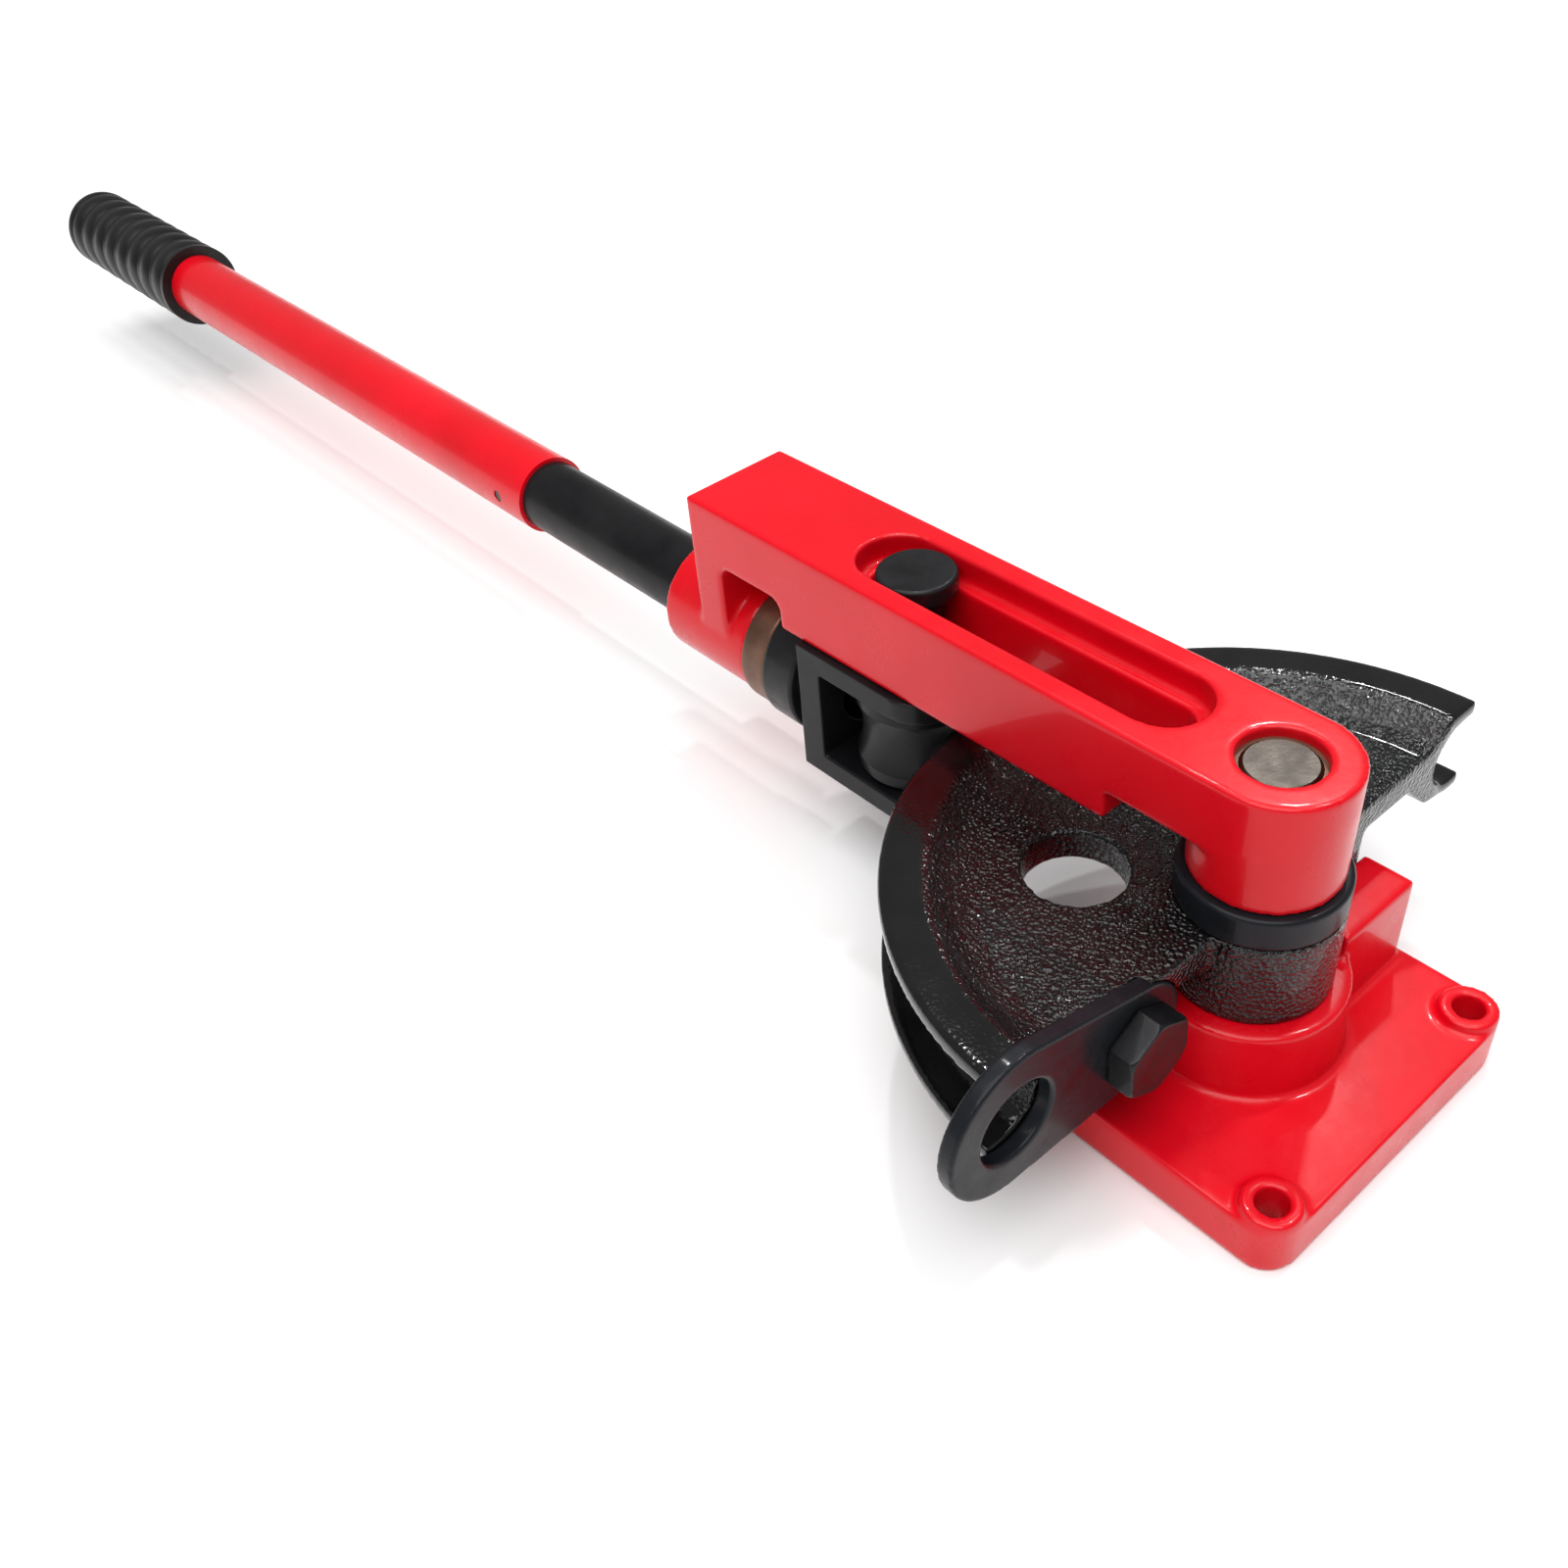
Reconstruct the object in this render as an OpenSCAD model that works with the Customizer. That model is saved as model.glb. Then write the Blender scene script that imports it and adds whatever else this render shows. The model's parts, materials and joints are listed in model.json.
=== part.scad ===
// Manual tube bender: a bolted-down base carries a half-round forming die, and an arm with a
// screw-adjusted roller swings round the die on a pivot pin. The long handle turns the screw
// and swings the arm. Origin: centre of the base's four holes, on its underside, which is also
// the pivot axis. +Z is up, and the arm lies along -X at rest.

/* [Base] */
// Length of the base plate along X
base_l = 128; // [124:1:140]
// Width of the base plate along Y
base_w = 134; // [130:1:146]
// Thickness of the base plate
base_t = 20; // [16:1:22]
// Distance between the bolt holes along X
hole_x = 107; // [100:1:108]
// Distance between the bolt holes along Y
hole_y = 112; // [106:1:114]
// Diameter of the bolt holes
hole_d = 11; // [9:0.5:13]
// Height of the boss that the die stands on
boss_top = 48; // [44:1:50]

/* [Die] */
// Bend radius, to the middle of the tube
bend_r = 117; // [114:1:118]
// Diameter of the tube groove
groove_d = 27.2; // [20:0.2:28]
// Radius of the rim's lips
lip_r = 123.5; // [122:0.5:124]
// Height of the tube's centre line above the bench
tube_z = 71; // [70:0.5:72]
// Diameter of the lightening holes in the web
web_hole_d = 35.5; // [20:0.5:38]

/* [Arm] */
// Width of the arm
arm_w = 50; // [48:1:54]
// Height of the arm's top face above the bench
arm_top = 139; // [137:1:142]
// Height of the bar's underside
bar_bottom = 100.5; // [100.5:0.5:103]
// Distance from the pivot to the arm's far end
arm_l = 259; // [256:1:262]

/* [Pivot] */
// Diameter of the pivot pin
pivot_d = 25; // [20:1:25]

/* [Roller] */
// Distance from the pivot to the roller's axis
roller_x = 155; // [154:0.5:156]
// Diameter of the roller's flanges
roller_d = 50; // [48:1:52]
// Diameter of the roller pin
roller_pin_d = 20; // [16:1:20]

/* [Handle] */
// Diameter of the screw spindle
spindle_d = 34; // [28:1:34]
// Outer diameter of the handle tube
tube_d = 38; // [37:0.5:40]
// Distance from the pivot to the end of the handle
handle_end = 980; // [900:10:1100]
// Length of the rubber grip
grip_l = 168; // [140:7:189]
// Number of ribs on the grip
grip_ribs = 8; // [7:1:10]

/* [Hidden] */

$fn = 64;
eps = 0.01;           // cuts pass this far through a face
running = 0.05;       // radial clearance of a running fit
gap = 0.3;            // gap between faces of pieces that move on each other

red = [0.80, 0.03, 0.05];
black = [0.06, 0.06, 0.06];
steel = [0.55, 0.55, 0.56];
bronze = [0.45, 0.26, 0.17];

// Base
corner_r = 12;
pad_r = 10;
pad_top = base_t + 3.4;
boss_foot_r = 35.4;
boss_r = 33.9;
stop_x = [2, 21.7];
stop_y = [24, 63.4];
stop_top = 57;
pin_head_r = 20;
pin_head_z = [1.5, 8];
grub_z = 34;

// Die
web_bottom = tube_z - 1.5;
web_top = web_bottom + 13;
hub_r = 27.9;
rim_top = tube_z + 20;
rim_bottom = tube_z - 19;
rim_flat_r = 108.3;
rim_root_r = 91.6;
end_x = 2;            // the die's end faces lie this far past the pivot axis
plate_t = 6;
plate_x = end_x - plate_t;
web_hole_at = [49, 33];
rib_t = 12;

// Eye plate
eye_r = 15;
eye_chamfer = 0.8;
eye_boss_r = 28;
bolt_y = -63;
bolt_z = 62;
bolt_boss_r = 21.5;
bolt_r = 8;
bolt_af = 27;
bolt_head_t = 10;
bolt_length = 30;

// Arm
pivot_r = pivot_d / 2;
bush_t = 1.5;
bush_r = pivot_r + bush_t;
bush_l = 18;
hub_bottom = 95.6;
relief_x = 46;        // the bar is thinner from here to the hub
relief_z = 112;
slot_x = [180, 28];   // ends of the upper slot, measured from the pivot
slot_half = 15.5;
ledge_z = arm_top - 10;
ledge_w = 5;
notch_x = [242, 206];
notch_z = 113;
notch_r = 6;
boss_x = [284, 232];
arm_boss_r = 26;

// Nut and spindle
spindle_r = spindle_d / 2;
nut_r = 21.5;
nut_x = [262, 218];
nut_flange_r = 27.3;
collar_r = 28.5;
collar_x = [nut_x[1] - gap, 199.6];
washer_x = [collar_x[1] - gap, 195];
journal_r = 10;
journal_x = 184;
circlip_x = [186.6, 184.8];
rod_tube_x = 409;     // the red tube starts here
rod_end_x = rod_tube_x + 45;

// Yoke
yoke_x = [195, 128];
yoke_half = 27.3;
yoke_corner_r = 15;
yoke_wall = 12.5;
yoke_z = [41, 100.2];
yoke_in_z = [51, 91];
circlip_pocket_r = 15;

// Roller
roller_r = roller_d / 2;
roller_pin_r = roller_pin_d / 2;
roller_z = [52.5, 89.5];
roller_bore_r = roller_pin_r + 2.5;
roller_groove_at = 36;   // from the roller's axis to the middle of the tube
roller_groove_r = 32;    // the groove is shallow, so it takes any size of tube
washer_t = 1.2;
pin_head_top = arm_top - 1.3;
pin_foot = 43;
roller_head_r = slot_half - gap;

// Handle
tube_r = tube_d / 2;
grip_x = handle_end - grip_l;
tube_end_x = handle_end - 8;
grip_groove_r = tube_r + 4.4;
grip_r = grip_groove_r + 1.6;
grip_end_r = 10;      // rounding of the closed end
grip_lip = 4;         // length of the plain lip at the open end
grip_rib_pitch = (grip_l - grip_lip - grip_end_r) / grip_ribs;
grip_rib_round = 20;  // radius of a rib's back

// A cylinder along +X from x = from to x = to, on the tube's centre line unless moved
module rod_x(from, to, r, y = 0, z = tube_z) {
  translate([from, y, z]) rotate([0, 90, 0]) cylinder(h = to - from, r = r);
}

// A ring about the Z axis
module ring_z(z0, z1, r_in, r_out) {
  rotate_extrude() translate([r_in, z0]) square([r_out - r_in, z1 - z0]);
}

// A cylinder about Z with both rims chamfered
module chamfered_post(z0, z1, r, c) {
  rotate_extrude() polygon([
    [0, z0], [r - c, z0], [r, z0 + c], [r, z1 - c], [r - c, z1], [0, z1]
  ]);
}

// A straight slot with round ends along X, from x = -a to x = -b
module slot_shape(a, b, half) {
  translate([-a + half, 0]) circle(r = half);
  translate([-b - half, 0]) circle(r = half);
  translate([-a + half, -half]) square([a - b - 2 * half, 2 * half]);
}

// A rectangle with round corners, centred
module round_rect(l, w, r) {
  square([l - 2 * r, w], center = true);
  square([l, w - 2 * r], center = true);
  for (sx = [-1, 1], sy = [-1, 1]) {
    translate([sx * (l / 2 - r), sy * (w / 2 - r)]) circle(r = r);
  }
}

// A six-sided prism along +X with the given width across flats
module hex_x(from, to, af) {
  translate([from, 0, 0]) rotate([0, 90, 0]) cylinder(h = to - from, r = af / sqrt(3), $fn = 6);
}

module base_casting() {
  color(red) difference() {
    union() {
      linear_extrude(base_t) round_rect(base_l, base_w, corner_r);
      for (sx = [-1, 1], sy = [-1, 1]) {
        translate([sx * hole_x / 2, sy * hole_y / 2, base_t - 1]) {
          cylinder(h = pad_top - base_t + 1, r1 = pad_r + 0.4, r2 = pad_r);
        }
      }
      translate([0, 0, base_t - 1]) {
        cylinder(h = boss_top - base_t + 1, r1 = boss_foot_r, r2 = boss_r, $fn = 128);
      }
      stop_block();
    }
    for (sx = [-1, 1], sy = [-1, 1]) {
      translate([sx * hole_x / 2, sy * hole_y / 2, -1]) cylinder(h = pad_top + 2, d = hole_d);
    }
    translate([0, 0, -1]) cylinder(h = boss_top + 2, r = pivot_r);
    translate([0, 0, -1]) cylinder(h = pin_head_z[1] + 1, r = pin_head_r + 0.5);
    rod_x(-boss_foot_r - 1, 0, 4, z = grub_z);
    // the die's hub stands on the boss, so the stop block is cut back round it
    translate([0, 0, boss_top]) cylinder(h = 20, r = hub_r + 0.6);
  }
}

// The block that the die's end rib leans on, so the die can't turn with the arm
module stop_block() {
  translate([stop_x[0], stop_y[0], base_t - 1]) {
    cube([stop_x[1] - stop_x[0], stop_y[1] - stop_y[0], stop_top - base_t + 1]);
  }
}

module pivot_pin() {
  color(steel) {
    chamfered_post(pin_head_z[0], pin_head_z[1], pin_head_r, 0.8);
    chamfered_post(pin_head_z[1] - 1, arm_top - 3, pivot_r, 1.2);
  }
}

module pivot_grub_screw() {
  color(black) difference() {
    rod_x(-pivot_r - 10, -pivot_r, 4, z = grub_z);
    translate([-pivot_r - 10 - eps, 0, grub_z]) hex_x(0, 4, 4);
  }
}

// The rim's section, from the web outwards
module rim_section() {
  difference() {
    polygon([
      [rim_root_r - 4, web_bottom], [102, rim_bottom + 3], [116.5, rim_bottom],
      [lip_r - 1, rim_bottom], [lip_r, rim_bottom + 1], [lip_r, rim_top - 1],
      [lip_r - 1, rim_top], [rim_flat_r, rim_top], [rim_flat_r - 4.5, rim_top - 3.4],
      [rim_flat_r - 9, rim_top - 6.2], [rim_root_r + 3, web_top + 0.6], [rim_root_r, web_top],
      [rim_root_r - 4, web_top]
    ]);
    translate([bend_r, tube_z]) circle(d = groove_d);
    translate([bend_r, tube_z - groove_d / 2]) square([20, groove_d]);
  }
}

module die_section() {
  rim_section();
  translate([hub_r - 3, web_bottom]) square([rim_root_r - hub_r, web_top - web_bottom]);
}

module forming_die() {
  color(black) difference() {
    union() {
      rotate([0, 0, 90]) rotate_extrude(angle = 180, $fn = 180) die_section();
      // both ends run straight on past the pivot axis
      for (s = [-1, 1]) {
        rotate([90, 0, 90]) linear_extrude(end_x) mirror([s < 0 ? 1 : 0, 0]) die_section();
      }
      ring_z(boss_top, web_top, pivot_r, hub_r);
      die_fillet();
      // rib that leans on the base's stop block
      translate([end_x - rib_t, hub_r - 4, boss_top + 4]) {
        cube([rib_t, stop_y[1] - hub_r + 1, web_bottom - boss_top - 3]);
      }
      // lug that the eye plate is bolted to
      translate([plate_x - 22, bolt_y - 17, boss_top]) cube([22, 34, web_bottom - boss_top + 1]);
    }
    for (s = [-1, 1]) {
      translate([-web_hole_at[0], s * web_hole_at[1], web_bottom - 1]) {
        cylinder(h = web_top - web_bottom + 2, d = web_hole_d);
      }
    }
    // seat of the eye plate, round where it meets the plate's inner end
    translate([plate_x, -lip_r - 1, boss_top - 1]) {
      cube([plate_t + 1, lip_r + 1 + bolt_y, rim_top - boss_top + 2]);
    }
    rod_x(plate_x, end_x + 1, bolt_boss_r, bolt_y, bolt_z);
    rod_x(plate_x - bolt_length + plate_t, plate_x + 1, bolt_r, bolt_y, bolt_z);
    translate([0, 0, boss_top - 1]) cylinder(h = 60, r = pivot_r);
  }
}

// Cone that blends the hub into the web on the die's side
module die_fillet() {
  rotate([0, 0, 90]) rotate_extrude(angle = 180) polygon([
    [hub_r - 2, web_bottom - 6], [hub_r, web_bottom - 6], [hub_r + 6, web_bottom],
    [hub_r + 6, web_bottom + 1], [hub_r - 2, web_bottom + 1]
  ]);
}

// The strip between the eye plate's two round ends, drawn in the Y-Z plane
module eye_strip() {
  dy = -bend_r - bolt_y;
  dz = tube_z - bolt_z;
  dist = norm([dy, dz]);
  lean = atan2(dz, dy);
  touch_in = 0.02;    // the straight edges cut just inside the circles, so they join cleanly
  // the two straight edges meet both circles at this angle from the line of centres
  touch = acos((eye_boss_r - bolt_boss_r) / dist);
  polygon([
    for (p = [[bolt_y, bolt_z, bolt_boss_r, 1], [-bend_r, tube_z, eye_boss_r, 1],
              [-bend_r, tube_z, eye_boss_r, -1], [bolt_y, bolt_z, bolt_boss_r, -1]])
      let (a = lean + p[3] * (180 - touch))
        [p[0] + (p[2] - touch_in) * cos(a), p[1] + (p[2] - touch_in) * sin(a)]
  ]);
}

module eye_plate() {
  color(black) difference() {
    union() {
      rod_x(plate_x, end_x, bolt_boss_r, bolt_y, bolt_z);
      rod_x(plate_x, end_x, eye_boss_r, -bend_r);
      translate([plate_x, 0, 0]) rotate([90, 0, 90]) linear_extrude(plate_t) eye_strip();
    }
    rod_x(plate_x - 1, end_x + 1, eye_r, -bend_r);
    for (side = [[plate_x, 1], [end_x, -1]]) {
      translate([side[0], -bend_r, tube_z]) rotate([0, side[1] * 90, 0]) {
        translate([0, 0, -eps]) cylinder(h = eye_chamfer + eps, r1 = eye_r + eye_chamfer + eps, r2 = eye_r);
      }
    }
    rod_x(plate_x - 1, end_x + 1, bolt_r, bolt_y, bolt_z);
  }
}

module eye_plate_bolt() {
  color(black) union() {
    rod_x(end_x - bolt_length, end_x + 1, bolt_r, bolt_y, bolt_z);
    translate([0, bolt_y, bolt_z]) intersection() {
      rotate([2, 0, 0]) hex_x(end_x, end_x + bolt_head_t, bolt_af);
      // the chamfer on the head's outer corners
      translate([end_x, 0, 0]) rotate([0, 90, 0]) {
        cylinder(h = bolt_head_t, r1 = bolt_af * 0.84, r2 = bolt_af * 0.53);
      }
    }
  }
}

module spacer_ring() {
  z1 = hub_bottom - gap;
  c = 1;
  color(black) rotate_extrude() polygon([
    [pivot_r, web_top], [hub_r - c, web_top], [hub_r, web_top + c], [hub_r, z1 - c],
    [hub_r - c, z1], [pivot_r, z1]
  ]);
}

module swing_arm() {
  bar_h = arm_top - bar_bottom;
  color(red) difference() {
    union() {
      // bar, thinner beside the hub
      translate([-arm_l, -arm_w / 2, bar_bottom]) cube([arm_l - relief_x, arm_w, bar_h]);
      translate([-relief_x - 1, -arm_w / 2, relief_z]) cube([relief_x + 1, arm_w, arm_top - relief_z]);
      translate([0, 0, hub_bottom]) cylinder(h = arm_top - hub_bottom, r = arm_w / 2, $fn = 128);
      // end leg and the boss that it carries
      translate([-arm_l, -arm_w / 2, tube_z]) {
        cube([arm_l - notch_x[0], arm_w, bar_bottom - tube_z + 1]);
      }
      rod_x(-boss_x[0], -boss_x[1], arm_boss_r);
    }
    arm_notch();
    translate([0, 0, bar_bottom - 20]) {
      linear_extrude(60) slot_shape(slot_x[0] - ledge_w, slot_x[1] + ledge_w, slot_half - ledge_w);
    }
    translate([0, 0, ledge_z]) linear_extrude(20) slot_shape(slot_x[0], slot_x[1], slot_half);
    translate([0, 0, hub_bottom - 1]) cylinder(h = 60, r = bush_r);
    // through bore for the spindle, and the nut's seat
    rod_x(-boss_x[0] - 1, -boss_x[1] + 1, spindle_r + gap);
    rod_x(-nut_x[0], -boss_x[1] + 1, nut_r);
    // grub screw hole in the boss's underside
    translate([-(nut_x[0] + boss_x[1]) / 2, 0, tube_z - arm_boss_r - 1]) cylinder(h = 10, r = 3);
  }
}

// Window between the bar and the end leg, open below, with round upper corners
module arm_notch() {
  l = notch_x[0] - notch_x[1];
  difference() {
    translate([-notch_x[0], -arm_w, tube_z]) cube([l, 2 * arm_w, notch_z - tube_z]);
    for (s = [0, 1]) {
      translate([-notch_x[0] + s * l, 0, notch_z]) rotate([90, 0, 0]) {
        linear_extrude(2 * arm_w + 2, center = true) mirror([s, 0]) difference() {
          translate([-1, -notch_r]) square([notch_r + 1, notch_r + 1]);
          translate([notch_r, -notch_r]) circle(r = notch_r);
        }
      }
    }
    // the boss reaches in under the window
    rod_x(-notch_x[0] - 1, -boss_x[1], arm_boss_r);
  }
}

module pivot_bush(z0) {
  color(bronze) ring_z(z0, z0 + bush_l, pivot_r + running, bush_r);
}

module upper_pivot_bush() {
  pivot_bush(arm_top - 4 - bush_l);
}

module lower_pivot_bush() {
  pivot_bush(hub_bottom + 0.5);
}

module bronze_nut() {
  c = 0.8;
  color(bronze) translate([0, 0, tube_z]) rotate([0, -90, 0]) rotate_extrude() polygon([
    [spindle_r + running, nut_x[1]], [nut_flange_r - c, nut_x[1]], [nut_flange_r, nut_x[1] + c],
    [nut_flange_r, boss_x[1] - c], [nut_flange_r - c, boss_x[1]], [nut_r, boss_x[1]],
    [nut_r, nut_x[0]], [spindle_r + running, nut_x[0]]
  ]);
}

module nut_grub_screw() {
  at = -(nut_x[0] + boss_x[1]) / 2;
  z0 = tube_z - arm_boss_r + 0.6;
  color(black) difference() {
    translate([at, 0, z0]) cylinder(h = tube_z - nut_r - z0, r = 3);
    translate([at, 0, z0 - eps]) cylinder(h = 2, r = 3 / sqrt(3), $fn = 6);
    rod_x(at - 5, at + 5, nut_r);
  }
}

// The yoke seen from above: square at the collar's end, round corners at the die's end
module yoke_outline() {
  inner = yoke_half - yoke_corner_r;
  straight = yoke_x[0] - yoke_x[1] - yoke_corner_r;
  translate([-yoke_x[0], -yoke_half]) square([straight, 2 * yoke_half]);
  translate([-yoke_x[0], -inner]) square([straight + yoke_corner_r, 2 * inner]);
  for (s = [-1, 1]) {
    translate([-yoke_x[1] - yoke_corner_r, s * inner]) circle(r = yoke_corner_r);
  }
}

module roller_yoke() {
  w = 2 * yoke_half;
  color(black) difference() {
    translate([0, 0, yoke_z[0]]) linear_extrude(yoke_z[1] - yoke_z[0]) yoke_outline();
    translate([-yoke_x[0] + yoke_wall, -w, yoke_in_z[0]]) cube([100, 2 * w, yoke_in_z[1] - yoke_in_z[0]]);
    translate([-roller_x, 0, yoke_z[0] - 1]) cylinder(h = yoke_z[1] - yoke_z[0] + 2, r = roller_pin_r + running);
    rod_x(-yoke_x[0] - 1, -yoke_x[0] + yoke_wall + 1, journal_r + running);
    rod_x(-circlip_x[0] - gap, -yoke_x[0] + yoke_wall + 1, circlip_pocket_r);
  }
}

module thrust_washer() {
  color(bronze) difference() {
    rod_x(-washer_x[0], -washer_x[1], 21);
    rod_x(-washer_x[0] - 1, -washer_x[1] + 1, journal_r + running);
  }
}

module roller_washer(z0) {
  color(steel) translate([-roller_x, 0, 0]) ring_z(z0, z0 + washer_t, roller_pin_r + running, roller_pin_r + 5);
}

module lower_roller_washer() {
  roller_washer(yoke_in_z[0]);
}

module upper_roller_washer() {
  roller_washer(yoke_in_z[1] - washer_t);
}

module roller() {
  h = roller_z[1] - roller_z[0];
  color(black) translate([-roller_x, 0, roller_z[0]]) rotate_extrude($fn = 96) difference() {
    polygon([
      [roller_bore_r, 0], [roller_r - 1, 0], [roller_r, 1], [roller_r, h - 1], [roller_r - 1, h],
      [roller_bore_r, h]
    ]);
    translate([roller_groove_at - groove_d / 2 + roller_groove_r, h / 2]) circle(r = roller_groove_r);
  }
}

module roller_bush() {
  color(bronze) translate([-roller_x, 0, 0]) {
    ring_z(roller_z[0], roller_z[1], roller_pin_r + running, roller_bore_r);
  }
}

module roller_pin() {
  color(black) translate([-roller_x, 0, 0]) union() {
    chamfered_post(pin_foot, ledge_z + 2, roller_pin_r, 1);
    chamfered_post(ledge_z + gap, pin_head_top, roller_head_r, 1);
  }
}

module screw_spindle() {
  color(black) difference() {
    union() {
      rod_x(-rod_end_x, -collar_x[1], spindle_r);
      rod_x(-collar_x[1] - 1, -journal_x, journal_r);
    }
    // groove for the circlip
    difference() {
      rod_x(-circlip_x[0], -circlip_x[1], journal_r + 1);
      rod_x(-circlip_x[0] - 1, -circlip_x[1] + 1, journal_r - 1);
    }
    collar_pin_hole();
    cross_pin_hole();
  }
}

// Cross hole for the pin that locks the collar to the spindle
module collar_pin_hole() {
  translate([-(collar_x[0] + collar_x[1]) / 2, 0, tube_z - 40]) cylinder(h = 80, r = 2.5);
}

// Cross hole for the pin that locks the tube to the spindle
module cross_pin_hole() {
  translate([-(rod_tube_x + 20), -40, tube_z]) rotate([-90, 0, 0]) cylinder(h = 80, r = 3);
}

module thrust_collar() {
  c = 1;
  color(black) difference() {
    translate([0, 0, tube_z]) rotate([0, -90, 0]) rotate_extrude() polygon([
      [spindle_r, collar_x[1]], [collar_r - c, collar_x[1]], [collar_r, collar_x[1] + c],
      [collar_r, collar_x[0] - c], [collar_r - c, collar_x[0]], [spindle_r, collar_x[0]]
    ]);
    collar_pin_hole();
  }
}

module collar_roll_pin() {
  h = 2 * collar_r - 4;
  color(steel) translate([-(collar_x[0] + collar_x[1]) / 2, 0, tube_z - h / 2]) cylinder(h = h, r = 2.5);
}

module spindle_circlip() {
  color(steel) difference() {
    rod_x(-circlip_x[0], -circlip_x[1], 13.5);
    rod_x(-circlip_x[0] - 1, -circlip_x[1] + 1, journal_r - 1);
    // the open ends
    translate([-circlip_x[0] - 1, -2.5, tube_z]) cube([5, 5, 20]);
  }
}

module handle_tube() {
  color(red) difference() {
    rod_x(-tube_end_x, -rod_tube_x, tube_r);
    rod_x(-tube_end_x - 1, -rod_tube_x + 1, spindle_r);
    cross_pin_hole();
  }
}

module handle_cross_pin() {
  h = 2 * tube_r - 1;
  color(steel) translate([-(rod_tube_x + 20), -h / 2, tube_z]) rotate([-90, 0, 0]) cylinder(h = h, r = 3);
}

// A round-backed rib of the grip's section, centred on the given place along the handle
module grip_rib(at) {
  intersection() {
    translate([grip_r - grip_rib_round, at]) circle(r = grip_rib_round);
    translate([tube_r, at - grip_rib_pitch / 2]) square([20, grip_rib_pitch]);
  }
}

// Ribbed rubber sleeve, closed at the outer end and with a lip at the inner end
module handle_grip() {
  color(black) difference() {
    translate([0, 0, tube_z]) rotate([0, -90, 0]) rotate_extrude() {
      translate([0, grip_x]) square([grip_groove_r, grip_l - grip_end_r]);
      translate([0, grip_x]) square([grip_r, grip_lip]);
      // closed end
      translate([0, handle_end - grip_end_r - 1]) square([grip_r - grip_end_r, grip_end_r + 1]);
      translate([grip_r - grip_end_r, handle_end - grip_end_r]) circle(r = grip_end_r);
      for (i = [0 : grip_ribs - 1]) {
        grip_rib(grip_x + grip_lip + (i + 0.5) * grip_rib_pitch);
      }
    }
    rod_x(-tube_end_x, -grip_x + 1, tube_r);
  }
}

base_casting();
pivot_pin();
pivot_grub_screw();
forming_die();
eye_plate();
eye_plate_bolt();
spacer_ring();
swing_arm();
upper_pivot_bush();
lower_pivot_bush();
bronze_nut();
nut_grub_screw();
roller_yoke();
thrust_washer();
lower_roller_washer();
upper_roller_washer();
roller();
roller_bush();
roller_pin();
screw_spindle();
thrust_collar();
collar_roll_pin();
spindle_circlip();
handle_tube();
handle_cross_pin();
handle_grip();
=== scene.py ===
import json
import math

import bpy
from mathutils import Matrix, Vector

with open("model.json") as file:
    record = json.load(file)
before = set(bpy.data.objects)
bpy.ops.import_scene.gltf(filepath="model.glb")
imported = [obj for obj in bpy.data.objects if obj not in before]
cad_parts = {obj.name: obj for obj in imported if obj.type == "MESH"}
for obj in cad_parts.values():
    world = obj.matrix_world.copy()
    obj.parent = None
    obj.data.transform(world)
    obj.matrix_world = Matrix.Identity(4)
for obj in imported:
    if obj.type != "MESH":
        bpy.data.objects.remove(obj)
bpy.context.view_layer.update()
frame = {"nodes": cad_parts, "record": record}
nodes = frame["nodes"]

# ---------------------------------------------------------------- camera

def make_camera():
    """The camera, above and to the right of the base, looking along the arm to the handle."""
    azimuth = math.radians(52.76)
    elevation = math.radians(40.47)
    roll = math.radians(-6.01)
    distance = 0.72143
    target = Vector((-0.25193, 0.00369, -0.02465))
    back = Vector((
        math.sin(azimuth) * math.cos(elevation),
        -math.cos(azimuth) * math.cos(elevation),
        math.sin(elevation),
    ))
    data = bpy.data.cameras.new("camera")
    data.sensor_width = 36
    data.lens = 35.33
    data.clip_start = 0.01
    data.clip_end = 50
    camera = bpy.data.objects.new("camera", data)
    turn = (-back).to_track_quat("-Z", "Y") @ Matrix.Rotation(roll, 3, "Z").to_quaternion()
    camera.rotation_mode = "QUATERNION"
    camera.rotation_quaternion = turn
    camera.location = target + back * distance
    bpy.context.scene.collection.objects.link(camera)
    bpy.context.scene.camera = camera


# ---------------------------------------------------------------- stage

def area_light(name, place, aim, side, power):
    """A small square light, which puts the highlights on edges and on rough casting."""
    data = bpy.data.lights.new(name, "AREA")
    data.shape = "SQUARE"
    data.size = side
    data.energy = power
    light = bpy.data.objects.new(name, data)
    light.location = place
    way = Vector(aim) - Vector(place)
    light.rotation_mode = "QUATERNION"
    light.rotation_quaternion = way.to_track_quat("-Z", "Y")
    bpy.context.scene.collection.objects.link(light)


def sun_light(name, way_up, power, spread):
    """A wide soft light from far off, in the direction way_up."""
    data = bpy.data.lights.new(name, "SUN")
    data.energy = power
    data.angle = math.radians(spread)
    light = bpy.data.objects.new(name, data)
    light.rotation_mode = "QUATERNION"
    light.rotation_quaternion = (-Vector(way_up)).to_track_quat("-Z", "Y")
    bpy.context.scene.collection.objects.link(light)


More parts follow.
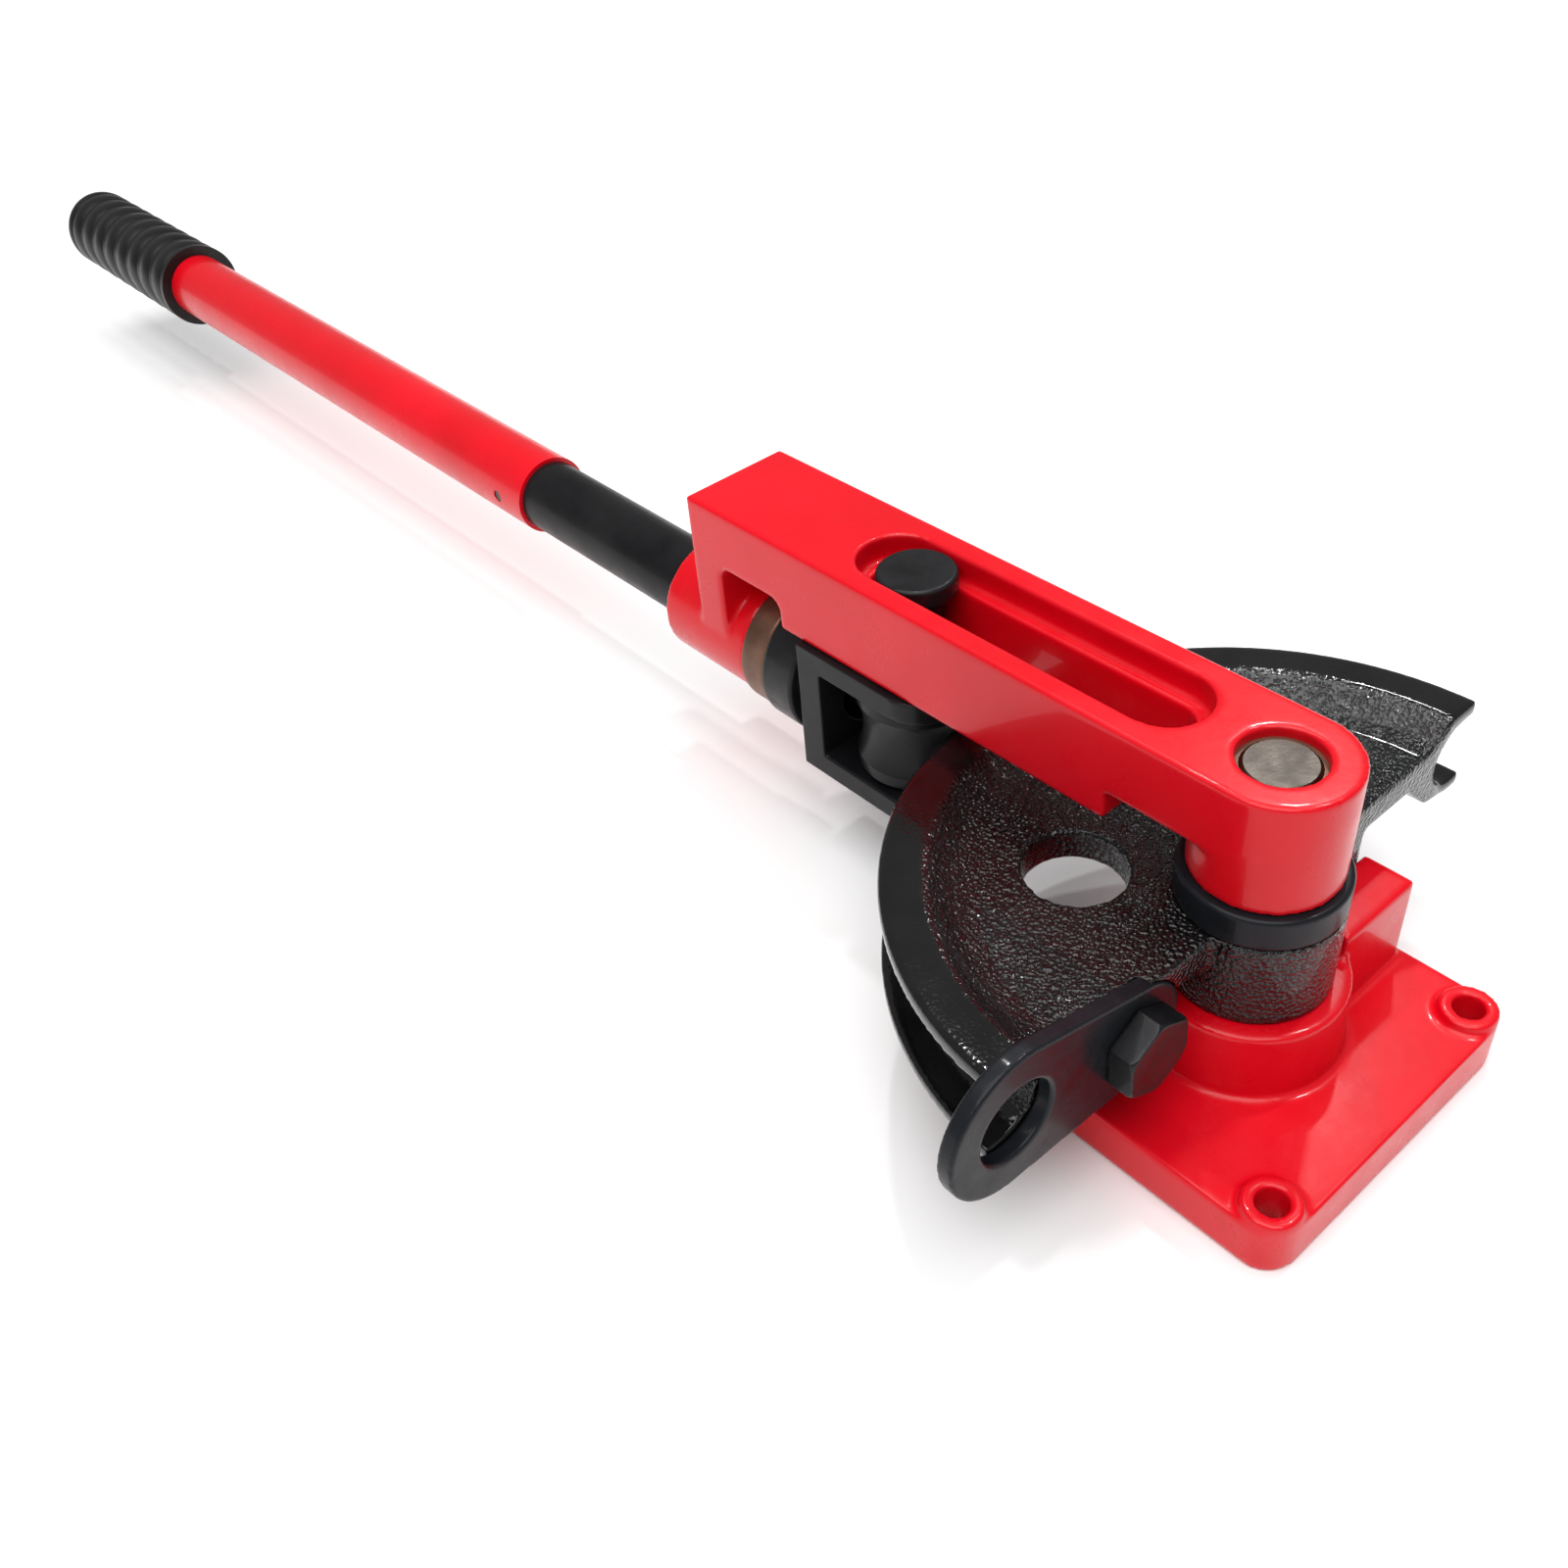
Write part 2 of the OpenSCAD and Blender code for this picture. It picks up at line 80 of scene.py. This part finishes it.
def make_stage():
    world = bpy.data.worlds.new("studio")
    world.use_nodes = True
    background = world.node_tree.nodes["Background"]
    background.inputs["Color"].default_value = (1, 1, 1, 1)
    background.inputs["Strength"].default_value = 0.3
    bpy.context.scene.world = world
    bpy.context.scene.view_settings.view_transform = "Standard"

    mesh = bpy.data.meshes.new("floor")
    half = 30   # metres, so that the edge is far behind the tool from any side
    corners = [(-half, -half, 0), (half, -half, 0), (half, half, 0), (-half, half, 0)]
    mesh.from_pydata(corners, [], [(0, 1, 2, 3)])
    floor = bpy.data.objects.new("floor", mesh)
    floor.location.z = -0.0002   # clear of the base's underside
    bpy.context.scene.collection.objects.link(floor)
    paper = bpy.data.materials.new("floor_paper")
    paper.use_nodes = True
    shader = paper.node_tree.nodes["Principled BSDF"]
    shader.inputs["Base Color"].default_value = (0.96, 0.96, 0.96, 1)
    shader.inputs["Roughness"].default_value = 0.75
    mesh.materials.append(paper)

    middle = (-0.1, 0, 0.08)
    sun_light("overhead", (0.1, -0.3, 0.95), 2.8, 60)
    area_light("back", (0.05, 0.6, 1.21), middle, 0.08, 3)
    area_light("spark_left", (-0.44, 0.24, 1.05), middle, 0.04, 1.8)
    area_light("spark_right", (-0.33, 0.66, 0.92), middle, 0.04, 1.8)


# ---------------------------------------------------------------- materials

def link(tree, source, output, target, socket):
    tree.links.new(source.outputs[output], target.inputs[socket])


class Material:
    """A material under construction: a Principled shader and the nodes that feed it."""

    def __init__(
        self, name, metallic=0.0, roughness=0.5, specular=0.5, coat=0.0, coat_roughness=0.03
    ):
        self.data = bpy.data.materials.new(name)
        self.data.use_nodes = True
        self.tree = self.data.node_tree
        self.shader = self.tree.nodes["Principled BSDF"]
        self.shader.inputs["Metallic"].default_value = metallic
        self.shader.inputs["Roughness"].default_value = roughness
        self.shader.inputs["Specular IOR Level"].default_value = specular
        self.shader.inputs["Coat Weight"].default_value = coat
        self.shader.inputs["Coat Roughness"].default_value = coat_roughness
        self.place = self.tree.nodes.new("ShaderNodeTexCoord")
        self.normal = None

    def node(self, kind, **settings):
        made = self.tree.nodes.new(kind)
        for key, value in settings.items():
            setattr(made, key, value)
        return made

    def noise(self, per_metre, detail, stretch=None):
        """Noise whose features are about 1 / per_metre across, as an output socket."""
        made = self.node("ShaderNodeTexNoise")
        made.inputs["Scale"].default_value = per_metre
        made.inputs["Detail"].default_value = detail
        made.inputs["Roughness"].default_value = 0.55
        source = self.place.outputs["Object"]
        if stretch:
            shaped = self.node("ShaderNodeMapping")
            shaped.inputs["Scale"].default_value = stretch
            self.tree.links.new(source, shaped.inputs["Vector"])
            source = shaped.outputs["Vector"]
        self.tree.links.new(source, made.inputs["Vector"])
        return made.outputs["Fac"]

    def grains(self, per_metre):
        """Round grains, as an output socket that is 0 at their centres."""
        made = self.node("ShaderNodeTexVoronoi", feature="SMOOTH_F1")
        made.inputs["Scale"].default_value = per_metre
        made.inputs["Smoothness"].default_value = 0.6
        link(self.tree, self.place, "Object", made, "Vector")
        return made.outputs["Distance"]

    def ramp(self, source, stops):
        """A colour ramp from (position, colour) pairs; a plain number stands for a grey."""
        made = self.node("ShaderNodeValToRGB")
        ramp = made.color_ramp
        while len(ramp.elements) < len(stops):
            ramp.elements.new(0.5)
        for element, (position, colour) in zip(ramp.elements, stops):
            element.position = position
            if isinstance(colour, (int, float)):
                colour = (colour, colour, colour)
            element.color = (*colour, 1)
        self.tree.links.new(source, made.inputs["Fac"])
        return made.outputs["Color"]

    def blotches(self, per_metre, detail, first, second):
        """Noise turned into a soft change between two colours or greys."""
        return self.ramp(self.noise(per_metre, detail), [(0.3, first), (0.7, second)])

    def math(self, operation, a, b):
        made = self.node("ShaderNodeMath", operation=operation)
        for socket, value in zip(made.inputs, (a, b)):
            if isinstance(value, (int, float)):
                socket.default_value = value
            else:
                self.tree.links.new(value, socket)
        return made.outputs["Value"]

    def inside_radius(self, radius, softness, least):
        """1 near the pivot axis, falling to least beyond a radius from it."""
        flat = self.node("ShaderNodeMapping")
        flat.inputs["Scale"].default_value = (1, 1, 0)
        link(self.tree, self.place, "Object", flat, "Vector")
        length = self.node("ShaderNodeVectorMath", operation="LENGTH")
        link(self.tree, flat, "Vector", length, 0)
        made = self.node("ShaderNodeMapRange")
        made.inputs["From Min"].default_value = radius + softness
        made.inputs["From Max"].default_value = radius - softness
        made.inputs["To Min"].default_value = least
        self.tree.links.new(length.outputs["Value"], made.inputs["Value"])
        return made.outputs["Result"]

    def bump(self, height, depth):
        """Adds relief of about depth metres on top of what is there."""
        made = self.node("ShaderNodeBump")
        made.inputs["Strength"].default_value = 1
        made.inputs["Distance"].default_value = depth
        self.tree.links.new(height, made.inputs["Height"])
        if self.normal:
            self.tree.links.new(self.normal, made.inputs["Normal"])
        self.normal = made.outputs["Normal"]
        self.tree.links.new(self.normal, self.shader.inputs["Normal"])

    def colour(self, source):
        self.tree.links.new(source, self.shader.inputs["Base Color"])

    def rough(self, source):
        self.tree.links.new(source, self.shader.inputs["Roughness"])


def red_enamel(name="red_enamel", peel=0.00004):
    """Glossy red enamel with a slight orange peel, a little uneven in depth."""
    m = Material(name, roughness=0.3, specular=0.2, coat=0.25, coat_roughness=0.05)
    m.colour(m.blotches(14, 4, (0.60, 0.001, 0.007), (0.72, 0.002, 0.012)))
    m.rough(m.ramp(m.noise(60, 3), [(0.35, 0.26), (0.65, 0.36)]))
    m.bump(m.noise(220, 2), peel)
    m.bump(m.noise(900, 2), 0.00001)
    return m.data


def red_tube():
    """The same enamel on drawn tube, which is smoother than a casting."""
    return red_enamel("red_tube", peel=0.00001)


def black_casting():
    """Gloss black enamel over a rough sand casting, whose rim is dressed smoother than its web."""
    m = Material("black_casting", specular=0.4, coat=0.2, coat_roughness=0.04)
    m.colour(m.blotches(35, 4, (0.002, 0.002, 0.002), (0.007, 0.007, 0.008)))
    m.rough(m.blotches(90, 3, 0.07, 0.15))
    sand = m.math("MULTIPLY", m.grains(700), m.inside_radius(0.1075, 0.002, least=0.08))
    m.bump(sand, 0.0009)
    m.bump(m.noise(120, 2), 0.00012)
    return m.data


def black_plate():
    """Smooth satin black paint with brush-fine grain."""
    m = Material("black_plate", specular=0.12, coat=0.12, coat_roughness=0.1)
    m.colour(m.blotches(30, 4, (0.006, 0.007, 0.009), (0.013, 0.014, 0.018)))
    m.rough(m.blotches(120, 4, 0.30, 0.45))
    m.bump(m.noise(700, 3), 0.00005)
    m.bump(m.noise(90, 2), 0.00015)
    return m.data


def black_satin():
    """Satin black paint on machined steel, with faint turning marks."""
    m = Material("black_satin", specular=0.12, coat=0.12, coat_roughness=0.1)
    m.colour(m.blotches(25, 4, (0.004, 0.004, 0.005), (0.011, 0.011, 0.012)))
    m.rough(m.blotches(100, 4, 0.32, 0.48))
    m.bump(m.noise(1200, 2), 0.00003)
    return m.data


def black_oxide():
    """Blackened steel: dark, slightly metallic, mottled."""
    m = Material("black_oxide", metallic=0.3, specular=0.2, coat=0.15, coat_roughness=0.1)
    m.colour(m.blotches(60, 5, (0.006, 0.006, 0.007), (0.016, 0.016, 0.018)))
    m.rough(m.blotches(150, 4, 0.30, 0.50))
    m.bump(m.noise(800, 3), 0.00006)
    return m.data


def bright_steel():
    """Dull turned steel with fine marks and a little staining."""
    m = Material("bright_steel", metallic=1.0)
    m.colour(m.blotches(40, 5, (0.06, 0.052, 0.045), (0.13, 0.115, 0.10)))
    m.rough(m.blotches(150, 4, 0.28, 0.44))
    m.bump(m.noise(900, 2, stretch=(1, 1, 6)), 0.00004)
    return m.data


def bronze():
    """Dull oiled bronze with turning marks and darker stains."""
    m = Material("bronze", metallic=0.55)
    m.colour(m.blotches(50, 5, (0.105, 0.050, 0.030), (0.24, 0.125, 0.080)))
    m.rough(m.blotches(120, 4, 0.35, 0.55))
    m.bump(m.noise(500, 2, stretch=(6, 1, 1)), 0.00005)
    return m.data


def grip_rubber():
    """Moulded black rubber with a fine dull grain and a dusting on the ribs."""
    m = Material("grip_rubber", specular=0.3)
    m.colour(m.blotches(40, 5, (0.003, 0.003, 0.003), (0.009, 0.009, 0.009)))
    m.rough(m.blotches(110, 4, 0.28, 0.42))
    m.bump(m.noise(1100, 3), 0.00008)
    return m.data


MAKERS = {
    "red_enamel": red_enamel, "black_casting": black_casting, "black_plate": black_plate,
    "black_satin": black_satin, "black_oxide": black_oxide, "bright_steel": bright_steel,
    "bronze": bronze, "grip_rubber": grip_rubber,
}


# ---------------------------------------------------------------- pieces

def apply_material(piece, material):
    piece.data.materials.clear()
    piece.data.materials.append(material)


def as_casting(name, voxel, rounding):
    """Rounds every edge of a CAD node as a casting's or a worn part's are, by modifiers alone."""
    piece = nodes[name]
    weld = piece.modifiers.new("weld", "WELD")
    weld.merge_threshold = 0.00001
    remesh = piece.modifiers.new("remesh", "REMESH")
    remesh.mode = "VOXEL"
    remesh.voxel_size = voxel
    remesh.use_smooth_shade = True
    smooth = piece.modifiers.new("smooth", "SMOOTH")
    smooth.factor = 0.5
    smooth.iterations = rounding


def build():
    for row in frame["record"]["subparts"]:
        piece = nodes[row["node"]]
        apply_material(piece, materials[row["material_slot"]])
    apply_material(nodes["handle_tube"], red_tube())
    for name in ("base_casting", "forming_die", "swing_arm"):
        as_casting(name, 0.0011, 5)
    as_casting("eye_plate", 0.0007, 3)
    as_casting("roller_yoke", 0.0007, 3)
    for name in ("eye_plate_bolt", "spacer_ring", "roller_pin", "bronze_nut", "thrust_collar"):
        as_casting(name, 0.0005, 3)


materials = {slot: make() for slot, make in MAKERS.items()}
make_camera()
make_stage()
build()
